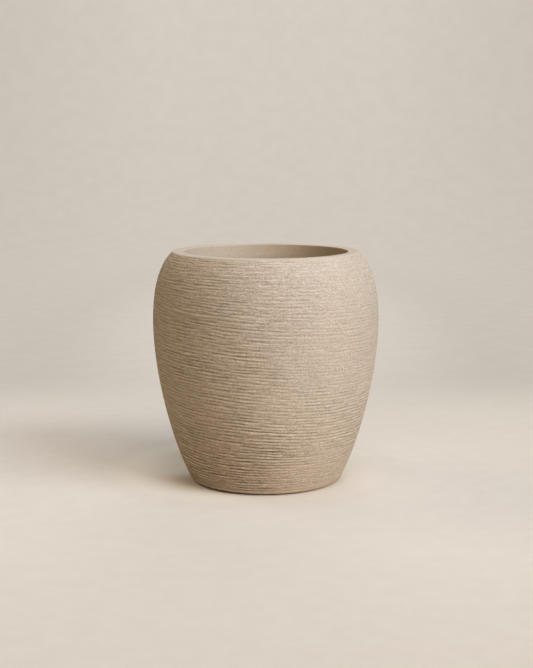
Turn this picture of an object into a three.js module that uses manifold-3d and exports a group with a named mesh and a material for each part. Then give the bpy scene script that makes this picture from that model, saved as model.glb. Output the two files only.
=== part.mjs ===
// Barrel planter: a thick-walled shell on four rubber pads, with a sleeved drain hole in its floor,
// a rubber plug pushed in from below and a plastic grid lying over the drain.
// Millimetres, +Z up. The origin is on the ground, below the centre of the mouth. The front faces -Y.
import * as THREE from "three";
import { mergeVertices } from "three/addons/utils/BufferGeometryUtils.js";
import Module from "manifold-3d";

// Outside of the shell
const bellyRadius = 180;
const bellyHeight = 258.5; // from the ground to the widest ring
const shoulderHeight = 109.5; // from the widest ring to the lip
const baseRadius = 121;
const baseLean = 28.2; // degrees from upright, outwards, where the side leaves the base
const rimRadius = 147.7;
const shoulderLean = 48.8; // degrees from upright, inwards, where the shoulder meets the lip
const baseEdge = 4; // reach of the rounded bottom edge
const lipEdge = 1.2; // reach of the eased edges of the lip

// Fullness of the outline's two arcs: the lever of each end over the distance between the ends
const baseFullness = 0.214;
const bellyFullness = 0.355;
const shoulderFullness = 0.298;
const flareFullness = 0.4;

// Inside of the shell
const wallThickness = 11.5;
const lipWidth = 17.5;
const neckDepth = 24; // the inside is upright from the lip down to here
const neckFlare = 30; // height over which it then widens to the wall
const floorThickness = 20;
const floorCorner = 18; // height of the rounded corner between floor and wall

// Foot pads
const padDiameter = 24;
const padThickness = 2.5;
const padBevel = 0.6;
const padInset = 10; // from the flat of the base's edge to the pad

// Drain sleeve
const drainBore = 26;
const sleeveWall = 2;
const sleeveFlangeOverhang = 8;
const sleeveFlangeThickness = 2.5;
const sleeveLeadIn = 0.8;

// Drain plug
const plugFlangeOverhang = 10; // beyond the bore
const plugFlangeThickness = 3;
const plugTaper = 1; // loss of radius from the flange to the tip
const plugTipDrop = 1; // the tip stays this far below the top of the sleeve
const plugTipBevel = 1.2;
const gripLength = 20;
const gripWidth = 4;
const gripHeight = 3;
const gripStandoff = 0.7; // the grip stays this far above the underside of the shell
const fingerRoom = 5; // ring gap around the plug's flange

// Drain screen
const screenOverlap = 8; // beyond the sleeve's flange
const screenSeatDepth = 1.2; // depth of the shallow seat that it lies in
const screenThickness = 2.2;
const meshOpening = 4;
const meshBar = 2;
const screenRim = 3;

const fitGap = 0.3; // clearance between pieces that fit into or lie on each other

// Number of straight steps that stand for each round form
const shellSides = 64;
const drainSides = 40;
const padSides = 24;
const baseSteps = 10;
const shoulderSteps = 8;
const flareSteps = 6;
const cornerSteps = 4;
const edgeSteps = 2;
const gripSteps = 6;

// Places that follow from the sizes
const shellBottom = padThickness;
const lipTop = bellyHeight + shoulderHeight;
const neckRadius = rimRadius - lipWidth;
const neckBottom = lipTop - neckDepth;
const floorTop = shellBottom + floorThickness;
const screenSeat = floorTop - screenSeatDepth;
const flangeLedge = screenSeat - sleeveFlangeThickness;
const boreRadius = drainBore / 2;
const sleeveRadius = boreRadius + sleeveWall;
const sleeveFlangeRadius = sleeveRadius + sleeveFlangeOverhang;
const screenRadius = sleeveFlangeRadius + screenOverlap;
const plugFlangeRadius = boreRadius + plugFlangeOverhang;
const recessRadius = plugFlangeRadius + fingerRoom;
const recessTop = shellBottom + gripStandoff + gripHeight + plugFlangeThickness + fitGap;
const padRing = baseRadius - baseEdge - padInset - padDiameter / 2;

const clay = new THREE.MeshStandardMaterial({ color: 0xb49f8a, roughness: 0.9, metalness: 0 });
const rubber = new THREE.MeshStandardMaterial({ color: 0x2b2826, roughness: 0.8, metalness: 0 });
const padRubber = new THREE.MeshStandardMaterial({ color: 0x4a4038, roughness: 0.85, metalness: 0 });
const sleevePlastic = new THREE.MeshStandardMaterial({ color: 0x6d6257, roughness: 0.6, metalness: 0 });
const screenPlastic = new THREE.MeshStandardMaterial({ color: 0x3a3a33, roughness: 0.65, metalness: 0 });

const wasm = await Module();
wasm.setup();

function point(radius, height) {
  return new THREE.Vector2(radius, height);
}

// Unit direction that leans a number of degrees from upright, outwards where positive.
function leaning(degrees) {
  const angle = THREE.MathUtils.degToRad(degrees);
  return point(Math.sin(angle), Math.cos(angle));
}

// Arc from one point to another, with its direction and fullness at each end.
function arc(start, startDirection, startFullness, end, endDirection, endFullness) {
  const span = start.distanceTo(end);
  return new THREE.CubicBezierCurve(
    start,
    start.clone().addScaledVector(startDirection, startFullness * span),
    end.clone().addScaledVector(endDirection, -endFullness * span),
    end,
  );
}

// The point of a rising curve, moved square to it by an inward offset.
function offsetPoint(curve, t, offset) {
  const along = curve.getTangent(t);
  return curve.getPoint(t).add(point(-along.y, along.x).multiplyScalar(offset));
}

// The curve parameter at which the offset curve passes a height.
function parameterAt(curve, offset, height) {
  let low = 0;
  let high = 1;
  for (let i = 0; i < 40; i++) {
    const middle = (low + high) / 2;
    if (offsetPoint(curve, middle, offset).y < height) low = middle;
    else high = middle;
  }
  return (low + high) / 2;
}

// Points of the offset curve from one parameter to another, both ends included.
function stretch(curve, offset, from, to, steps) {
  return Array.from({ length: steps + 1 }, (_, i) =>
    offsetPoint(curve, from + ((to - from) * i) / steps, offset),
  );
}

// Points that round a corner off, both ends included.
function easedCorner(start, corner, end, steps) {
  return new THREE.QuadraticBezierCurve(start, corner, end).getPoints(steps);
}

// Turns a profile of radii and heights about the Z axis.
function turned(profile, sides) {
  return new THREE.LatheGeometry(profile, sides).rotateX(Math.PI / 2);
}

// A closed solid of a geometry, for cutting and joining.
function solidOf(geometry) {
  const bare = geometry.clone();
  bare.deleteAttribute("normal");
  bare.deleteAttribute("uv");
  const merged = mergeVertices(bare);
  return new wasm.Manifold(
    new wasm.Mesh({
      numProp: 3,
      vertProperties: merged.attributes.position.array,
      triVerts: new Uint32Array(merged.index.array),
    }),
  );
}

function geometryOf(solid) {
  const mesh = solid.getMesh();
  const geometry = new THREE.BufferGeometry();
  geometry.setAttribute("position", new THREE.BufferAttribute(mesh.vertProperties, 3));
  geometry.setIndex(new THREE.BufferAttribute(mesh.triVerts, 1));
  geometry.computeVertexNormals();
  return geometry;
}

function named(name, geometry, material) {
  const mesh = new THREE.Mesh(geometry, material);
  mesh.name = name;
  return mesh;
}

// The outline of the side, from the base to the belly and from there to the lip.
const upright = point(0, 1);
const base = point(baseRadius, shellBottom);
const belly = point(bellyRadius, bellyHeight);
const rim = point(rimRadius, lipTop);
const lowerSide = arc(base, leaning(baseLean), baseFullness, belly, upright, bellyFullness);
const shoulder = arc(belly, upright, bellyFullness, rim, leaning(-shoulderLean), shoulderFullness);

// Shell: up the outside, over the lip, down the inside, through the floor and back along the underside.
function shellProfile() {
  const outsideStart = parameterAt(lowerSide, 0, shellBottom + baseEdge);
  const outsideEnd = parameterAt(shoulder, 0, lipTop - lipEdge);
  const insideStart = parameterAt(lowerSide, wallThickness, floorTop + floorCorner);
  const outside = [
    ...stretch(lowerSide, 0, outsideStart, 1, baseSteps).slice(0, -1),
    ...stretch(shoulder, 0, 0, outsideEnd, shoulderSteps),
  ];
  const insideEnd = parameterAt(shoulder, wallThickness, neckBottom - neckFlare);
  const wallTop = offsetPoint(shoulder, insideEnd, wallThickness);
  const wallTopDirection = shoulder.getTangent(insideEnd);
  const neckFoot = point(neckRadius, neckBottom);
  const flare = arc(wallTop, wallTopDirection, flareFullness, neckFoot, upright, flareFullness);
  const inside = [
    ...stretch(lowerSide, wallThickness, insideStart, 1, baseSteps).slice(0, -1),
    ...stretch(shoulder, wallThickness, 0, insideEnd, shoulderSteps).slice(0, -1),
    ...flare.getPoints(flareSteps),
  ].reverse();

  // The floor's corner is tangent to the wall and to the floor.
  const wallFoot = inside[inside.length - 1];
  const wallDirection = lowerSide.getTangent(insideStart);
  const floorMeet = wallFoot.clone().addScaledVector(wallDirection, -floorCorner / wallDirection.y);
  const floorEdge = point(floorMeet.x - wallFoot.distanceTo(floorMeet), floorTop);

  const start = point(baseRadius - baseEdge, shellBottom);
  const lipOuterEnd = point(rimRadius - lipEdge, lipTop);
  const lipInnerEnd = point(neckRadius + lipEdge, lipTop);
  const lipInside = point(neckRadius, lipTop);
  const lipInsideStart = point(neckRadius, lipTop - lipEdge);
  return [
    ...easedCorner(start, base, outside[0], cornerSteps),
    ...outside.slice(1, -1),
    ...easedCorner(outside[outside.length - 1], rim, lipOuterEnd, edgeSteps),
    ...easedCorner(lipInnerEnd, lipInside, lipInsideStart, edgeSteps),
    ...inside,
    ...easedCorner(wallFoot, floorMeet, floorEdge, cornerSteps).slice(1),
    point(screenRadius + fitGap, floorTop),
    point(screenRadius + fitGap, screenSeat),
    point(sleeveFlangeRadius + fitGap, screenSeat),
    point(sleeveFlangeRadius + fitGap, flangeLedge),
    point(sleeveRadius + fitGap, flangeLedge),
    point(sleeveRadius + fitGap, recessTop),
    point(recessRadius, recessTop),
    point(recessRadius, shellBottom),
    start,
  ];
}

// Sleeve: a bush whose flange lies flush in the screen's seat and whose lower end stops at the recess.
function sleeveProfile() {
  return [
    point(boreRadius + sleeveLeadIn, recessTop),
    point(sleeveRadius, recessTop),
    point(sleeveRadius, flangeLedge),
    point(sleeveFlangeRadius, flangeLedge),
    point(sleeveFlangeRadius, screenSeat),
    point(boreRadius, screenSeat),
    point(boreRadius, recessTop + sleeveLeadIn),
    point(boreRadius + sleeveLeadIn, recessTop),
  ];
}

// Plug: a flange under the sleeve, a tapered body in its bore and a grip across the underside.
function plugGeometry() {
  const flangeTop = recessTop - fitGap;
  const flangeBottom = flangeTop - plugFlangeThickness;
  const tip = screenSeat - plugTipDrop;
  const bodyRadius = boreRadius - fitGap;
  const body = turned(
    [
      point(0, flangeBottom),
      point(plugFlangeRadius, flangeBottom),
      point(plugFlangeRadius, flangeTop),
      point(bodyRadius, flangeTop),
      point(bodyRadius - plugTaper, tip - plugTipBevel),
      point(bodyRadius - plugTaper - plugTipBevel, tip),
      point(0, tip),
    ],
    drainSides,
  );
  const end = gripWidth / 2;
  const reach = gripLength / 2 - end;
  const outline = new THREE.Shape();
  outline.absarc(reach, 0, end, -Math.PI / 2, Math.PI / 2, false);
  outline.absarc(-reach, 0, end, Math.PI / 2, (Math.PI * 3) / 2, false);
  const depth = gripHeight + plugFlangeThickness / 2; // the grip runs into the flange
  const grip = new THREE.ExtrudeGeometry(outline, { depth, bevelEnabled: false, curveSegments: gripSteps });
  grip.translate(0, 0, flangeBottom - gripHeight);
  return geometryOf(solidOf(body).add(solidOf(grip)));
}

// Screen: a disc with a square grid of openings inside a solid rim.
function screenGeometry() {
  const pitch = meshOpening + meshBar;
  const count = Math.floor((screenRadius - screenRim) / pitch);
  const disc = new THREE.CylinderGeometry(screenRadius, screenRadius, screenThickness, drainSides);
  disc.rotateX(Math.PI / 2).translate(0, 0, screenThickness / 2);
  let screen = solidOf(disc);
  const half = meshOpening / 2;
  const through = 3 * screenThickness; // tall enough to cut right through the disc
  for (let i = -count; i <= count; i++) {
    for (let j = -count; j <= count; j++) {
      const farCorner = Math.hypot(Math.abs(i) * pitch + half, Math.abs(j) * pitch + half);
      if (farCorner > screenRadius - screenRim) continue;
      const opening = new THREE.BoxGeometry(meshOpening, meshOpening, through);
      screen = screen.subtract(solidOf(opening.translate(i * pitch, j * pitch, 0)));
    }
  }
  return geometryOf(screen);
}

// Pad: a disc with a bevelled lower edge.
function padProfile() {
  const radius = padDiameter / 2;
  return [
    point(0, 0),
    point(radius - padBevel, 0),
    point(radius, padBevel),
    point(radius, padThickness),
    point(0, padThickness),
  ];
}

const planter = new THREE.Group();
planter.add(named("planter_shell", turned(shellProfile(), shellSides), clay));
planter.add(named("drain_sleeve", turned(sleeveProfile(), drainSides), sleevePlastic));
planter.add(named("drain_plug", plugGeometry(), rubber));

const screen = named("drain_screen", screenGeometry(), screenPlastic);
screen.position.z = screenSeat + fitGap;
planter.add(screen);

const corners = { front_left: 225, front_right: 315, back_right: 45, back_left: 135 };
for (const [corner, degrees] of Object.entries(corners)) {
  const angle = THREE.MathUtils.degToRad(degrees);
  const pad = named("foot_pad_" + corner, turned(padProfile(), padSides), padRubber);
  pad.position.set(padRing * Math.cos(angle), padRing * Math.sin(angle), 0);
  planter.add(pad);
}

export default planter;
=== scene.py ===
"""A barrel planter with combed sides, on a plain pale floor in soft studio light.

Lengths are in metres, +Z up. The origin is on the ground below the centre of the mouth, and the front
faces -Y. Each turned piece is a mesh made from its profile of radii and heights.
"""
import math

import bpy
import numpy as np
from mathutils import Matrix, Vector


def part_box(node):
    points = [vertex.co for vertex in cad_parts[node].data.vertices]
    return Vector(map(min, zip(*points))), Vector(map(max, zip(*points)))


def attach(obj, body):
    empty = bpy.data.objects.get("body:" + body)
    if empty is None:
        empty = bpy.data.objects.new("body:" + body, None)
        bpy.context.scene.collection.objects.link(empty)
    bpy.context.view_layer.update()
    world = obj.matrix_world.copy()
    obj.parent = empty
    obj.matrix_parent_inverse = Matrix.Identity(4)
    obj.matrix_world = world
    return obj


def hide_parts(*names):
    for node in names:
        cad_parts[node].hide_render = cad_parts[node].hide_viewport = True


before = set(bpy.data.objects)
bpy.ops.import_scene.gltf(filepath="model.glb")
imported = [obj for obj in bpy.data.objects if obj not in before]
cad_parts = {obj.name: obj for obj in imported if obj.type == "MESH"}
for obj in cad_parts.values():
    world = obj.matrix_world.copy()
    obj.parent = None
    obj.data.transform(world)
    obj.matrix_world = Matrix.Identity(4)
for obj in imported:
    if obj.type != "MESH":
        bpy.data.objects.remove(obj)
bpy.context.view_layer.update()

rng = np.random.default_rng(11)

# Places that the solids give
shell_low, shell_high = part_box("planter_shell")
sleeve_low, sleeve_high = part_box("drain_sleeve")
plug_low, plug_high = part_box("drain_plug")
_, screen_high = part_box("drain_screen")
shell_bottom = shell_low.z
lip_top = shell_high.z
belly_radius = shell_high.x
recess_top = sleeve_low.z
screen_seat = sleeve_high.z
sleeve_flange_radius = sleeve_high.x
screen_radius = screen_high.x
plug_flange_radius = plug_high.x

# Outline of the shell
belly_height = 0.2585
base_radius = 0.121
base_lean = 28.2
rim_radius = 0.1477
shoulder_lean = 48.8
base_edge = 0.004
lip_edge = 0.0012
base_fullness = 0.214
belly_fullness = 0.355
shoulder_fullness = 0.298
wall_thickness = 0.0115
lip_width = 0.0175
neck_depth = 0.024
neck_flare = 0.030
flare_fullness = 0.4
floor_thickness = 0.020
floor_corner = 0.018

# Drain
fit_gap = 0.0003
bore_radius = 0.013
sleeve_radius = 0.015
sleeve_flange_thickness = 0.0025
recess_radius = 0.028
plug_flange_thickness = 0.003
plug_taper = 0.001
grip_length = 0.020
grip_width = 0.004
grip_height = 0.003

# Reach of the eased edges
recess_edge = 0.0004
sleeve_edge = 0.0004
plug_edge = 0.0008
grip_edge = 0.0008
screen_edge = 0.00025
pad_edge = 0.0005

# Segments round each turned piece
shell_segments = 256
sleeve_segments = 128
plug_segments = 96
pad_segments = 64

# Combing
groove_count = 74
groove_depth = 0.0010
deepest_share = 1.3
rows_per_groove = 4
combed_radius = 0.165  # near the mean, for lengths round the planter
faintest_place = math.radians(-25)
slant_rise = 0.0115
slant_place = math.radians(-112)
slant_ease = 0.090
wander_ease = 0.015


def bezier(points, t):
    """Points of a cubic curve at the parameters t."""
    t = t[:, None]
    p = [np.array(q, float) for q in points]
    return (1 - t) ** 3 * p[0] + 3 * (1 - t) ** 2 * t * p[1] + 3 * (1 - t) * t ** 2 * p[2] + t ** 3 * p[3]


def leaning(degrees):
    """Unit direction of radius and height that leans outwards by that many degrees."""
    return np.array((math.sin(math.radians(degrees)), math.cos(math.radians(degrees))))


def arc(start, start_lean, start_fullness, end, end_lean, end_fullness, count):
    """An arc with its lean and fullness at each end."""
    start, end = np.array(start, float), np.array(end, float)
    span = np.hypot(*(end - start))
    first_lever = start + leaning(start_lean) * start_fullness * span
    last_lever = end - leaning(end_lean) * end_fullness * span
    return bezier((start, first_lever, last_lever, end), np.linspace(0, 1, count))


def normals_of(line):
    """Unit normals of a line of radii and heights, pointing to the right of its direction."""
    step = np.gradient(line, axis=0)
    step /= np.hypot(step[:, 0], step[:, 1])[:, None]
    return np.stack([step[:, 1], -step[:, 0]], axis=1)


def lengths_of(line):
    """Length along a line at each of its points."""
    return np.concatenate([[0], np.cumsum(np.hypot(*np.diff(line, axis=0).T))])


def at_lengths(line, lengths):
    """Points of a line at given lengths along it."""
    along = lengths_of(line)
    radii = np.interp(lengths, along, line[:, 0])
    heights = np.interp(lengths, along, line[:, 1])
    return np.stack([radii, heights], axis=-1)


def rounded(start, corner, end, count):
    """Points that round a corner off, both ends included."""
    t = np.linspace(0, 1, count)[:, None]
    return (1 - t) ** 2 * np.array(start) + 2 * t * (1 - t) * np.array(corner) + t * t * np.array(end)


def eased(points, reach, steps=5, support=2.0, closed=False):
    """A profile with each corner rounded over a reach.

    A point before and one after each corner, at support times the reach, keep the flats flat.
    """
    points = [np.array(p, float) for p in points]
    count = len(points)
    most = 0.45  # of a side, for what is done at one of its ends
    result = []
    for i, here in enumerate(points):
        if not closed and i in (0, count - 1):
            result.append(here)
            continue
        before, after = points[i - 1], points[(i + 1) % count]
        back, ahead = before - here, after - here
        back_length, ahead_length = np.hypot(*back), np.hypot(*ahead)
        back, ahead = back / back_length, ahead / ahead_length
        room = min(reach, most * back_length / support, most * ahead_length / support)
        start, end = here + back * room, here + ahead * room
        result.append(here + back * room * support)
        result.extend(rounded(start, here, end, steps))
        result.append(here + ahead * room * support)
    return np.array(result)


def smooth_noise(rows, columns, row_reach, column_reach):
    """Random numbers with a spread of one, blurred over that many rows and columns, without a seam."""
    spectrum = np.fft.fft2(rng.standard_normal((rows, columns)))
    down = np.fft.fftfreq(rows)[:, None] * row_reach
    across = np.fft.fftfreq(columns)[None, :] * column_reach
    blurred = np.fft.ifft2(spectrum * np.exp(-2 * np.pi ** 2 * (down ** 2 + across ** 2))).real
    return (blurred - blurred.mean()) / blurred.std()


def ramp(values, low, high):
    """Smooth step of values from 0 at low to 1 at high."""
    t = np.clip((values - low) / (high - low), 0, 1)
    return t * t * (3 - 2 * t)


def new_object(name, vertices, faces):
    """A smooth-shaded mesh object."""
    mesh = bpy.data.meshes.new(name)
    mesh.from_pydata([tuple(v) for v in vertices], [], faces)
    mesh.polygons.foreach_set("use_smooth", [True] * len(mesh.polygons))
    mesh.update()
    obj = bpy.data.objects.new(name, mesh)
    bpy.context.scene.collection.objects.link(obj)
    return obj


def ring_faces(rows, segments, closed):
    """Quads between rings of a turned mesh, facing out for a profile that runs counterclockwise."""
    faces = []
    for row in range(rows if closed else rows - 1):
        below, above = row * segments, (row + 1) % rows * segments
        for k in range(segments):
            after = (k + 1) % segments
            faces.append((below + k, below + after, above + after, above + k))
    return faces


def turned(name, profile, segments, closed=True):
    """A profile turned about the Z axis. One that isn't closed starts and ends on the axis."""
    angles = np.arange(segments) * 2 * np.pi / segments
    rings = np.array(profile, float) if closed else np.array(profile[1:-1], float)
    x = rings[:, 0, None] * np.cos(angles)
    y = rings[:, 0, None] * np.sin(angles)
    z = np.repeat(rings[:, 1, None], segments, axis=1)
    vertices = np.stack([x, y, z], axis=-1).reshape(-1, 3)
    faces = ring_faces(len(rings), segments, closed)
    if not closed:
        bottom, top = len(vertices), len(vertices) + 1
        last = (len(rings) - 1) * segments
        vertices = np.vstack([vertices, (0, 0, profile[0][1]), (0, 0, profile[-1][1])])
        for k in range(segments):
            after = (k + 1) % segments
            faces.append((after, k, bottom))
            faces.append((last + k, last + after, top))
    return new_object(name, vertices, faces)


# Shell
def shell_lines():
    """The outside from the base's edge to the lip, and the wall's inside at each of its points."""
    lower = arc((base_radius, shell_bottom), base_lean, base_fullness,
                (belly_radius, belly_height), 0, belly_fullness, count=400)
    upper = arc((belly_radius, belly_height), 0, belly_fullness,
                (rim_radius, lip_top), -shoulder_lean, shoulder_fullness, count=300)
    outside = np.vstack([lower, upper[1:]])
    inside = outside - normals_of(outside) * wall_thickness
    return outside, inside


def inside_line(inside):
    """The inside from the lip's edge down to the floor's corner: upright neck, flare and wall."""
    wall_rings = 12
    flare_rings = 10
    neck_shares = (0.33, 0.67, 0.97)
    floor_top = shell_bottom + floor_thickness
    neck_radius = rim_radius - lip_width
    neck_foot = np.array((neck_radius, lip_top - neck_depth))
    heights = inside[:, 1]
    wall = inside[(heights > floor_top + floor_corner) & (heights < neck_foot[1] - neck_flare)]
    lean = math.degrees(math.atan2(*(wall[-1] - wall[-2])))
    flare = arc(wall[-1], lean, flare_fullness, neck_foot, 0, flare_fullness, flare_rings)
    wall = at_lengths(wall, np.linspace(0, lengths_of(wall)[-1], wall_rings))
    neck = [(neck_radius, neck_foot[1] + share * (neck_depth - lip_edge)) for share in neck_shares]
    return np.vstack([wall, flare[1:], neck])[::-1]


def shell_profile():
    """The combed outside, and the rest of the closed profile in order from its end."""
    outside, inside = shell_lines()
    along = lengths_of(outside)
    start = np.interp(shell_bottom + base_edge, outside[:, 1], along)
    end = np.interp(lip_top - lip_edge, outside[:, 1], along)
    combed = at_lengths(outside, np.linspace(start, end, num=900))

    # Lip, with a ring just inside each of its rounded edges to keep it flat
    lip_margin = (0.0012, 0)
    lip_inside = np.array((rim_radius - lip_width, lip_top))
    lip_outside = np.array((rim_radius, lip_top))
    outer_edge = rounded(combed[-1], lip_outside, lip_outside - (lip_edge, 0), count=5)[1:]
    inner_edge = rounded(lip_inside + (lip_edge, 0), lip_inside, lip_inside - (0, lip_edge), count=5)
    lip_middle = (outer_edge[-1] + inner_edge[0]) / 2
    lip = [outer_edge[-1] - lip_margin, lip_middle, inner_edge[0] + lip_margin]

    # Wall, and the rounded corner where it meets the floor
    floor_top = shell_bottom + floor_thickness
    wall = inside_line(inside)
    slope = (wall[-1] - wall[-2]) / np.hypot(*(wall[-1] - wall[-2]))
    meet = wall[-1] + slope * floor_corner / -slope[1]
    floor_edge = np.array((meet[0] - np.hypot(*(meet - wall[-1])), floor_top))
    corner = rounded(wall[-1], meet, floor_edge, count=8)[1:]

    # Floor with the screen's seat, the hole for the sleeve, and the recess below it
    flange_ledge = screen_seat - sleeve_flange_thickness
    hole = eased([
        floor_edge,
        (screen_radius + fit_gap, floor_top),
        (screen_radius + fit_gap, screen_seat),
        (sleeve_flange_radius + fit_gap, screen_seat),
        (sleeve_flange_radius + fit_gap, flange_ledge),
        (sleeve_radius + fit_gap, flange_ledge),
        (sleeve_radius + fit_gap, recess_top),
        (recess_radius, recess_top),
        (recess_radius, shell_bottom),
        (base_radius - base_edge, shell_bottom),
    ], recess_edge, steps=3)[1:]

    # Rounded edge of the base, with a ring just inside it to keep the underside flat
    base_margin = (0.001, 0)
    base_start = np.array((base_radius - base_edge, shell_bottom))
    base_corner = rounded(base_start, (base_radius, shell_bottom), combed[0], count=7)[:-1]
    under = [base_start - base_margin]
    plain = np.vstack([outer_edge, lip, inner_edge, wall, corner, hole[:-1], under, base_corner])
    return combed, plain


def groove_rows(total):
    """Length along the outside and depth share of each row: crest, flank, valley, flank."""
    unevenness = 0.08 + 0.26 * np.linspace(0, 1, groove_count) ** 2.5
    widths = 1 + rng.uniform(-1, 1, groove_count) * unevenness
    edges = np.concatenate([[0], np.cumsum(widths)]) / widths.sum() * total
    quarters = np.array((0.0, 0.25, 0.5, 0.75))
    lengths = (edges[:-1, None] + np.diff(edges)[:, None] * quarters).ravel()
    depth_shares = np.tile((0.0, 0.5, 1.0, 0.5), groove_count)
    return np.append(lengths, total), np.append(depth_shares, 0.0)


def make_shell():
    """The shell, with its grooves cut inwards from the solid's outline."""
    combed, plain = shell_profile()
    total = lengths_of(combed)[-1]
    lengths, shares = groove_rows(total)
    rows = len(lengths)
    spacing = total / rows
    step = 2 * np.pi * combed_radius / shell_segments
    angles = np.arange(shell_segments) * 2 * np.pi / shell_segments
    groove_of = np.minimum(np.arange(rows) // rows_per_groove, groove_count)
    height_share = np.linspace(0, 1, rows)[:, None]

    def by_groove(reach):
        """Noise that the rows of a groove share, over a reach round the planter."""
        return smooth_noise(groove_count + 1, shell_segments, 0.0, reach / step)[groove_of]

    def by_row(rise, reach):
        """Noise over a rise up the outside and a reach round it."""
        return smooth_noise(rows, shell_segments, rise / spacing, reach / step)

    # How deep each groove runs round the planter: in short strokes, in wider patches, fainter at the
    # front right and towards the top, firmer again just below the lip, and fading out at both ends
    strokes = np.clip(0.68 + 0.36 * by_groove(reach=0.007), 0.0, 1.4)
    patches = 0.55 + 0.45 * ramp(by_row(rise=0.030, reach=0.045), -1.1, 0.9)
    ends = ramp(lengths, 0.0, 0.004) * ramp(total - lengths, 0.0, 0.0015)
    faint = ramp(np.cos(angles - faintest_place), 0.25, 0.95)
    pressure = (1.98 - 1.65 * height_share) * (1.40 - 0.70 * faint)
    pressure += 0.35 * ramp(lengths, total - 0.016, total - 0.006)[:, None]
    depth = strokes * patches * pressure * ends[:, None]
    drop = groove_depth * np.minimum(depth, deepest_share) * shares[:, None]

    # How the lines wander up and down, and slant down to the right on the front
    wander = 0.0009 * by_row(rise=0.030, reach=0.060)
    wander += 0.00032 * by_row(rise=0.006, reach=0.016)
    wander += 0.00024 * by_groove(reach=0.010)
    wander *= (ramp(lengths, 0.0, wander_ease) * ramp(total - lengths, 0.0, wander_ease))[:, None]
    slant = ramp(lengths, 0.0, slant_ease) * ramp(total - lengths, 0.0, slant_ease)
    wander -= slant[:, None] * slant_rise * np.sin(angles - slant_place)

    along = lengths_of(combed)
    normal = normals_of(combed)
    where = np.clip(lengths[:, None] + wander, 0, total)
    line = at_lengths(combed, where)
    radius = line[..., 0] - np.interp(where, along, normal[:, 0]) * drop
    height = line[..., 1] - np.interp(where, along, normal[:, 1]) * drop

    radius = np.vstack([radius, np.repeat(plain[:, 0, None], shell_segments, axis=1)])
    height = np.vstack([height, np.repeat(plain[:, 1, None], shell_segments, axis=1)])
    rings = np.stack([radius * np.cos(angles), radius * np.sin(angles), height], axis=-1)
    shell = new_object("shell", rings.reshape(-1, 3), ring_faces(len(radius), shell_segments, True))

    # For the material: from crest to valley of each groove, how strong the combing is, and where it is
    bare = np.zeros((len(plain), shell_segments))
    combed_here = np.repeat(ends[:, None], shell_segments, axis=1)
    strength = patches * (0.95 - 0.45 * faint) * (1.15 - 0.40 * height_share)
    fields = {
        "groove": depth * (2 * shares[:, None] - 1),
        "combing": combed_here * strength,
        "combed": combed_here,
    }
    for name, values in fields.items():
        attribute = shell.data.attributes.new(name, "FLOAT", "POINT")
        attribute.data.foreach_set("value", np.vstack([values, bare]).astype(np.float32).ravel())
    return shell


# Materials
def srgb(red, green, blue):
    """Linear colour of a screen colour from 0 to 255."""
    channels = [c / 255 for c in (red, green, blue)]
    return (*[c / 12.92 if c <= 0.04045 else ((c + 0.055) / 1.055) ** 2.4 for c in channels], 1.0)


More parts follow.
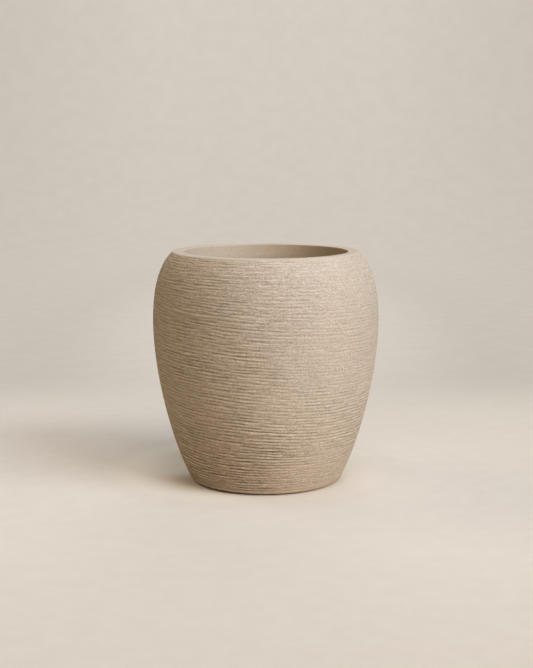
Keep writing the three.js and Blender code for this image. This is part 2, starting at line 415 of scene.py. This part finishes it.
class Nodes:
    """A material's node tree, with a short way to add and link nodes."""

    def __init__(self, name):
        self.material = bpy.data.materials.new(name)
        self.material.use_nodes = True
        self.tree = self.material.node_tree
        self.shader = self.tree.nodes["Principled BSDF"]
        self.output = self.tree.nodes["Material Output"]

    def add(self, kind, inputs=None, **settings):
        """A new node with its settings, and its inputs linked or set."""
        node = self.tree.nodes.new(kind)
        for key, value in settings.items():
            setattr(node, key, value)
        for key, value in (inputs or {}).items():
            self.set(node.inputs[key], value)
        return node

    def set(self, socket, value):
        """Links a socket to another one, or gives it a plain value."""
        if isinstance(value, bpy.types.NodeSocket):
            self.tree.links.new(value, socket)
        else:
            socket.default_value = value

    def place(self, scale=(1, 1, 1)):
        """The point on the object, with each axis scaled."""
        where = self.add("ShaderNodeTexCoord").outputs["Object"]
        return self.add("ShaderNodeVectorMath", {0: where, 1: scale}, operation="MULTIPLY").outputs[0]

    def geometry(self, output):
        """The position or the normal in the scene."""
        return self.add("ShaderNodeNewGeometry").outputs[output]

    def axes(self, vector):
        """The three parts of a vector."""
        return self.add("ShaderNodeSeparateXYZ", {0: vector}).outputs

    def noise(self, scale, detail, where=None, roughness=0.55):
        """Noise with about scale patches to a metre."""
        where = where or self.place()
        inputs = {"Vector": where, "Scale": scale, "Detail": detail, "Roughness": roughness}
        return self.add("ShaderNodeTexNoise", inputs).outputs["Fac"]

    def along_combing(self, across, down):
        """The point on the object, scaled sideways and, square to the slanting lines, up and down."""
        steepness = slant_rise / belly_radius
        steepest = slant_place + math.pi / 2
        square = (steepness * math.cos(steepest), steepness * math.sin(steepest), 1)
        dot = self.add("ShaderNodeVectorMath", {0: self.place(), 1: square}, operation="DOT_PRODUCT")
        height = self.math("MULTIPLY", dot.outputs["Value"], down)
        x, y, _ = self.axes(self.place((across, across, 1)))
        return self.add("ShaderNodeCombineXYZ", {0: x, 1: y, 2: height}).outputs[0]

    def math(self, operation, first, second, third=None):
        inputs = {0: first, 1: second}
        if third is not None:
            inputs[2] = third
        return self.add("ShaderNodeMath", inputs, operation=operation).outputs[0]

    def spread(self, value, low, high, to_low, to_high, smooth=False):
        """The value moved from one range to another, and kept inside it."""
        inputs = {"Value": value, "From Min": low, "From Max": high, "To Min": to_low, "To Max": to_high}
        kind = "SMOOTHSTEP" if smooth else "LINEAR"
        return self.add("ShaderNodeMapRange", inputs, interpolation_type=kind).outputs[0]

    def cloudy(self, scale, to_low, to_high):
        """Soft noise between two values."""
        return self.spread(self.noise(scale, 3.0), 0.35, 0.65, to_low, to_high)

    def mix(self, factor, first, second, blend="MIX"):
        node = self.add("ShaderNodeMix", data_type="RGBA", blend_type=blend)
        self.set(node.inputs[0], factor)
        self.set(node.inputs[6], first)
        self.set(node.inputs[7], second)
        return node.outputs[2]

    def times(self, first, second):
        """Two colours multiplied."""
        return self.mix(1.0, first, second, "MULTIPLY")

    def tone(self, value):
        """A colour of that brightness, warmer below one and cooler above it."""
        channels = [self.math("POWER", value, power) for power in (0.87, 0.98, 1.14)]
        return self.add("ShaderNodeCombineColor", dict(enumerate(channels))).outputs[0]

    def attribute(self, name):
        return self.add("ShaderNodeAttribute", attribute_name=name).outputs["Fac"]

    def bump(self, height, strength, distance):
        node = self.add("ShaderNodeBump", {"Height": height, "Strength": strength, "Distance": distance})
        self.set(self.shader.inputs["Normal"], node.outputs[0])


def clay_colour(m, combed):
    """The clay without its lines and grain, where combed is 1 on the combed outside and 0 elsewhere."""
    x, _, z = m.axes(m.place())
    colour = m.mix(m.cloudy(11.0, 0, 1), srgb(184, 167, 149), srgb(189, 172, 154))
    colour = m.mix(m.cloudy(38.0, 0, 0.35), colour, srgb(193, 174, 154))

    # Painted light and shade: paler and cooler towards the top, and a little paler round the middle
    height = m.spread(z, 0.04, 0.36, 0, 1)
    colour = m.times(colour, m.mix(height, (0.96, 0.91, 0.85, 1), (1.07, 1.09, 1.13, 1)))
    off_middle = m.math("ABSOLUTE", m.math("SUBTRACT", z, 0.18), 0.0)
    colour = m.times(colour, m.tone(m.spread(off_middle, 0.02, 0.11, 1.06, 1.0, smooth=True)))

    # Outside: painted shade, darker and warmer to the left, the side away from the light, more so low
    # down, and a little darker at the right edge
    outside = m.mix(m.spread(x, -0.17, 0.05, 0, 1), (0.875, 0.81, 0.69, 1), (1.01, 1.03, 1.06, 1))
    outside = m.times(outside, m.tone(m.spread(x, 0.09, 0.14, 1.0, 0.95)))
    painted_shade_low_left = m.math("MULTIPLY", m.spread(x, -0.02, 0.05, 1, 0), m.spread(z, 0.05, 0.13, 1, 0))
    outside = m.times(outside, m.tone(m.spread(painted_shade_low_left, 0, 1, 1, 0.9)))

    # Smooth parts: paler than the outside, with painted light and shade on the inner wall, palest right
    # of the middle and darker at its right end, and painted light, paler and cooler, where they face up
    inside = m.mix(m.spread(x, -0.06, 0.05, 0, 1), (1.08, 1.08, 1.07, 1), (1.20, 1.14, 1.03, 1))
    inside = m.times(inside, m.tone(m.spread(x, 0.06, 0.12, 1.0, 0.86)))
    up = m.axes(m.geometry("Normal"))[2]
    smooth = m.mix(m.spread(up, 0.3, 0.9, 0, 1), inside, (1.06, 1.09, 1.12, 1))
    return m.times(colour, m.mix(combed, smooth, outside))


def clay_material():
    """Sand-coloured clay: combed lines, painted shade in the valleys and painted light on the crests,
    soft mottling and a sandy grain.
    """
    m = Nodes("combed_clay")
    groove, combing, combed = m.attribute("groove"), m.attribute("combing"), m.attribute("combed")
    streak = m.noise(1.0, 1.0, m.along_combing(42.0, 800.0), 0.5)
    thread = m.noise(1.0, 1.0, m.along_combing(110.0, 1200.0), 0.5)
    grain = m.noise(1500.0, 2.0, roughness=0.7)
    sand = m.noise(760.0, 1.0, roughness=0.5)

    # Colour: lighter and darker lines where it is combed, and grains that show more there
    fine = m.math("MULTIPLY", m.spread(streak, 0.32, 0.68, -0.22, 0.22), combing)
    finer = m.math("MULTIPLY", m.spread(thread, 0.32, 0.68, -0.20, 0.20), combing)
    sandy = m.math("ADD", m.spread(grain, 0.3, 0.7, -0.12, 0.12), m.spread(sand, 0.3, 0.7, -0.32, 0.32))
    sandiness = m.math("MULTIPLY_ADD", combing, 0.4, m.spread(combed, 0, 1, 0.5, 0.92))
    light = m.math("ADD", m.math("ADD", fine, finer), m.math("MULTIPLY", sandy, sandiness))
    # Painted shade in each groove's valley and painted light on its crest
    light = m.math("ADD", light, m.math("MULTIPLY", groove, -0.25))
    light = m.math("MAXIMUM", m.math("ADD", light, 1.0), 0.15)
    m.set(m.shader.inputs["Base Color"], m.times(clay_colour(m, combed), m.tone(light)))
    m.shader.inputs["Roughness"].default_value = 0.93
    m.shader.inputs["Specular IOR Level"].default_value = 0.25

    # Relief: the same lines and grains
    lines = m.math("ADD", m.math("MULTIPLY", streak, 0.7), m.math("MULTIPLY", thread, 0.6))
    rough = m.math("ADD", m.math("MULTIPLY", grain, 0.35), m.math("MULTIPLY", sand, 0.5))
    m.bump(m.math("ADD", m.math("MULTIPLY", lines, combing), rough), 0.8, 0.0007)
    return m.material


def moulded_material(name, colour, other, roughness, skin_scale, bump):
    """Moulded plastic or rubber: a faint cloudiness, uneven gloss and a fine skin."""
    m = Nodes(name)
    cloud = m.noise(60.0, 3.0)
    m.set(m.shader.inputs["Base Color"], m.mix(m.spread(cloud, 0.35, 0.65, 0, 1), colour, other))
    m.set(m.shader.inputs["Roughness"], m.spread(cloud, 0.3, 0.7, roughness - 0.06, roughness + 0.06))
    m.bump(m.noise(skin_scale, 2.0), bump, 0.0002)
    return m.material


plastic_skin = 1800.0
rubber_skin = 1200.0
clay = clay_material()
sleeve_plastic = moulded_material(
    "sleeve_plastic", srgb(106, 96, 86), srgb(113, 102, 91), 0.55, plastic_skin, 0.2)
screen_plastic = moulded_material(
    "screen_plastic", srgb(56, 56, 50), srgb(62, 61, 54), 0.5, plastic_skin, 0.25)
plug_rubber = moulded_material(
    "plug_rubber", srgb(42, 40, 38), srgb(49, 46, 43), 0.75, rubber_skin, 0.3)
pad_rubber = moulded_material(
    "pad_rubber", srgb(74, 64, 56), srgb(80, 70, 61), 0.8, rubber_skin, 0.3)


def dress(obj, body, slot, material, *nodes):
    """Gives a piece its material and body, and lets it stand for the solids named. The slot is not used.
    """
    obj.data.materials.clear()
    obj.data.materials.append(material)
    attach(obj, body)
    if nodes:
        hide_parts(*nodes)


dress(make_shell(), "planter", "combed_clay", clay, "planter_shell")

# Sleeve
sleeve = turned("sleeve", eased([
    (bore_radius, recess_top),
    (sleeve_radius, recess_top),
    (sleeve_radius, screen_seat - sleeve_flange_thickness),
    (sleeve_flange_radius, screen_seat - sleeve_flange_thickness),
    (sleeve_flange_radius, screen_seat),
    (bore_radius, screen_seat),
], sleeve_edge, closed=True), sleeve_segments)
dress(sleeve, "planter", "sleeve_plastic", sleeve_plastic, "drain_sleeve")

# Plug, with a grip across its underside
flange_bottom = plug_low.z + grip_height
plug_body_radius = bore_radius - fit_gap
plug = turned("plug", eased([
    (0, flange_bottom),
    (plug_flange_radius, flange_bottom),
    (plug_flange_radius, flange_bottom + plug_flange_thickness),
    (plug_body_radius, flange_bottom + plug_flange_thickness),
    (plug_body_radius - plug_taper, plug_high.z),
    (0, plug_high.z),
], plug_edge), plug_segments, closed=False)
dress(plug, "plug", "plug_rubber", plug_rubber, "drain_plug")


def make_grip():
    """A bar with round ends and eased lower edges."""
    end = grip_width / 2
    reach = grip_length / 2 - end
    turns = np.linspace(-np.pi / 2, np.pi / 2, 17)
    outline = np.vstack([
        np.stack([reach + end * np.cos(turns), end * np.sin(turns)], axis=1),
        np.stack([-reach - end * np.cos(turns), -end * np.sin(turns)], axis=1),
    ])
    count = len(outline)
    insets = (grip_edge, grip_edge / 4, 0.0, 0.0)
    heights = (plug_low.z, plug_low.z + grip_edge / 4, plug_low.z + grip_edge, flange_bottom)
    centre = outline.copy()
    centre[:, 0] = np.clip(centre[:, 0], -reach, reach)
    centre[:, 1] = 0
    vertices = []
    for inset, z in zip(insets, heights):
        ring = centre + (outline - centre) * (1 - inset / end)
        vertices += [(x, y, z) for x, y in ring]
    faces = ring_faces(len(heights), count, False)
    faces.append(tuple(range(count))[::-1])
    faces.append(tuple((len(heights) - 1) * count + k for k in range(count)))
    return new_object("plug_grip", vertices, faces)


dress(make_grip(), "plug", "plug_rubber", plug_rubber)

# Screen: the solid's own mesh with its edges eased
screen_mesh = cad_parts["drain_screen"].data.copy()
screen = bpy.data.objects.new("screen", screen_mesh)
bpy.context.scene.collection.objects.link(screen)
bevel = screen.modifiers.new("eased", "BEVEL")
bevel.width = screen_edge
bevel.segments = 2
bevel.limit_method = "ANGLE"
bevel.angle_limit = math.radians(50)
bevel.harden_normals = True
dress(screen, "screen", "screen_plastic", screen_plastic, "drain_screen")

# Foot pads
for corner in ("front_left", "front_right", "back_right", "back_left"):
    low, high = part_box("foot_pad_" + corner)
    pad_radius = (high.x - low.x) / 2
    pad = turned("pad_" + corner, eased([
        (0, low.z),
        (pad_radius, low.z),
        (pad_radius, high.z),
        (0, high.z),
    ], pad_edge), pad_segments, closed=False)
    pad.location = ((low.x + high.x) / 2, (low.y + high.y) / 2, 0)
    dress(pad, "planter", "pad_rubber", pad_rubber, "foot_pad_" + corner)

# Floor and backdrop
floor_radius = 3.6
floor_rings = (0.0001, 0.4, 0.8, 1.2, 2.0, 2.8, floor_radius)
cove_radius = 1.4
cove_rings = 16
backdrop_top = 7.0
stage_segments = 96


def stage_disc(name, profile):
    """An open surface turned about the Z axis, facing in and up."""
    angles = np.arange(stage_segments) * 2 * np.pi / stage_segments
    vertices = [(r * math.cos(a), r * math.sin(a), z) for r, z in profile for a in angles]
    obj = new_object(name, vertices, ring_faces(len(profile), stage_segments, False))
    obj.data.flip_normals()
    return obj


def apart(m, where, centre, squeeze=(1, 1, 0)):
    """How far each place is from a centre, seen from above and with each axis squeezed."""
    offset = m.add("ShaderNodeVectorMath", {0: where, 1: centre}, operation="SUBTRACT").outputs[0]
    squeezed = m.add("ShaderNodeVectorMath", {0: offset, 1: squeeze}, operation="MULTIPLY").outputs[0]
    return m.add("ShaderNodeVectorMath", {0: squeezed}, operation="LENGTH").outputs["Value"]


def mottled(m, colour, scale):
    """The colour with a faint uneven tone, as painted plaster has."""
    return m.times(colour, m.tone(m.cloudy(scale, 0.984, 1.016)))


def far_glow(m):
    """The far tone, shown whatever light falls on it.

    It has painted shade, a little darker, where the floor ends and far to either side, painted light,
    paler with distance and height, and a painted pool of light, palest behind the planter.
    """
    where = m.geometry("Position")
    x, _, z = m.axes(where)
    reach = apart(m, where, (0, 0, 0))
    rise = m.math("ADD", m.spread(reach, 0.9, floor_radius, 0, 0.62), m.spread(z, 0, 1.3, 0, 0.38))
    tone = m.mix(rise, srgb(200, 191, 180), srgb(213, 205, 194))
    # Painted pool of light behind the planter
    painted_light_behind = m.spread(apart(m, where, (0, 1.9, 0), (1, 0.3, 0)), 0.30, 0.62, 1, 0, smooth=True)
    tone = m.mix(painted_light_behind, tone, srgb(213, 205, 194))
    # Painted shade far to either side
    painted_shade_aside = m.spread(m.math("ABSOLUTE", x, 0.0), 0.55, 1.6, 0.0, 1.0)
    tone = mottled(m, m.mix(painted_shade_aside, tone, srgb(201, 192, 181)), 15.0)
    return m.add("ShaderNodeEmission", {"Color": tone, "Strength": 1.0}).outputs[0]


def backdrop_material():
    """The far tone alone."""
    m = Nodes("backdrop")
    m.set(m.output.inputs["Surface"], far_glow(m))
    return m.material


def floor_material():
    """The floor's pale colour near the planter, with painted shade and light on it, and the far tone
    further off.
    """
    m = Nodes("floor")
    where = m.geometry("Position")
    x, y, _ = m.axes(where)

    # Painted shade, a little darker in front and to the right, and painted light, paler, where the shadow
    # ends at the left
    painted_floor_shade = m.math("MULTIPLY", m.spread(y, -0.78, -0.38, 0.9, 1.0), m.spread(x, -0.5, 0.5, 1.03, 0.95))
    painted_light_left = m.spread(apart(m, where, (-0.52, 0.38, 0)), 0.10, 0.40, 1.09, 1.0, smooth=True)
    colour = m.times(srgb(222, 214, 206), m.tone(m.math("MULTIPLY", painted_floor_shade, painted_light_left)))

    # Painted light that lifts the contact shadow: palest close to the base, furthest out at its back left
    # and least in front
    off_left = m.spread(apart(m, where, (-0.06, 0.06, 0)), 0.12, 0.235, 0, 1, smooth=True)
    off_base = m.spread(apart(m, where, (-0.02, 0.05, 0)), 0.14, 0.235, 0.25, 1)
    away = m.math("MULTIPLY", off_left, off_base)
    m.set(m.shader.inputs["Base Color"], m.mix(away, srgb(249, 242, 232), mottled(m, colour, 32.0)))
    m.shader.inputs["Roughness"].default_value = 0.95
    m.shader.inputs["Specular IOR Level"].default_value = 0.1

    # For the camera alone, the far tone further off, and a little of it as painted light in the shadow
    # beside the foot
    far = m.spread(apart(m, where, (0, -0.25, 0), (0.5, 1, 0)), 0.72, 1.22, 0, 1, smooth=True)
    painted_light_by_foot = m.spread(apart(m, where, (-0.14, 0.06, 0)), 0.02, 0.10, 0.25, 0, smooth=True)
    camera_ray = m.add("ShaderNodeLightPath").outputs["Is Camera Ray"]
    share = m.math("MULTIPLY", m.math("ADD", far, painted_light_by_foot), camera_ray)
    blend = m.add("ShaderNodeMixShader", {0: share, 1: m.shader.outputs[0], 2: far_glow(m)})
    m.set(m.output.inputs["Surface"], blend.outputs[0])
    return m.material


floor = stage_disc("floor", [(r, 0) for r in floor_rings])
floor.data.materials.append(floor_material())
bend = np.linspace(0, np.pi / 2, cove_rings)
cove = [(floor_radius + cove_radius * math.sin(a), cove_radius * (1 - math.cos(a))) for a in bend]
backdrop = stage_disc("backdrop", cove + [(floor_radius + cove_radius, backdrop_top)])
backdrop.data.materials.append(backdrop_material())
backdrop.visible_shadow = False
backdrop.visible_diffuse = False
backdrop.visible_glossy = False
backdrop.visible_transmission = False

# Light
aim_height = 0.2


def area_light(name, azimuth, elevation, distance, size, energy, colour):
    """A round soft light that faces the planter. Azimuth turns from the front towards +X."""
    light = bpy.data.lights.new(name, "AREA")
    light.shape = "DISK"
    light.size = size
    light.energy = energy
    light.color = colour
    obj = bpy.data.objects.new(name, light)
    bpy.context.scene.collection.objects.link(obj)
    a, e = math.radians(azimuth), math.radians(elevation)
    away = np.array((math.sin(a) * math.cos(e), -math.cos(a) * math.cos(e), math.sin(e)))
    obj.location = away * distance + (0, 0, aim_height)
    obj.rotation_euler = (math.pi / 2 - e, 0, a)
    obj.visible_camera = False


area_light("key", 54, 27, 8.0, 5.8, 575, (0.88, 0.96, 1.0))
area_light("top_fill", 25, 78, 6.0, 3.4, 152, (0.90, 0.95, 1.0))
area_light("warm_fill", 20, 45, 6.0, 3.4, 60, (1.0, 0.62, 0.3))
area_light("back_fill", 170, 38, 6.0, 4.0, 66, (1.0, 0.95, 0.86))
area_light("front_fill", -8, 32, 6.0, 3.4, 20, (1.0, 0.98, 0.95))
area_light("side_fill", -110, 38, 6.0, 3.4, 58, (1.0, 0.88, 0.62))

world = bpy.data.worlds.new("studio")
world.use_nodes = True
background = world.node_tree.nodes["Background"]
background.inputs["Color"].default_value = (1.0, 0.9, 0.8, 1.0)
background.inputs["Strength"].default_value = 0.03
bpy.context.scene.world = world

# Camera
camera_place = (0.0012, -2.063, 0.546)
camera_dip = 0.15  # in radians, below the level
camera_data = bpy.data.cameras.new("camera")
camera_data.lens = 70.1
camera_data.sensor_width = 36
camera = bpy.data.objects.new("camera", camera_data)
bpy.context.scene.collection.objects.link(camera)
camera.location = camera_place
camera.rotation_euler = (math.pi / 2 - camera_dip, 0, 0)
bpy.context.scene.camera = camera

bpy.context.scene.view_settings.view_transform = "Standard"
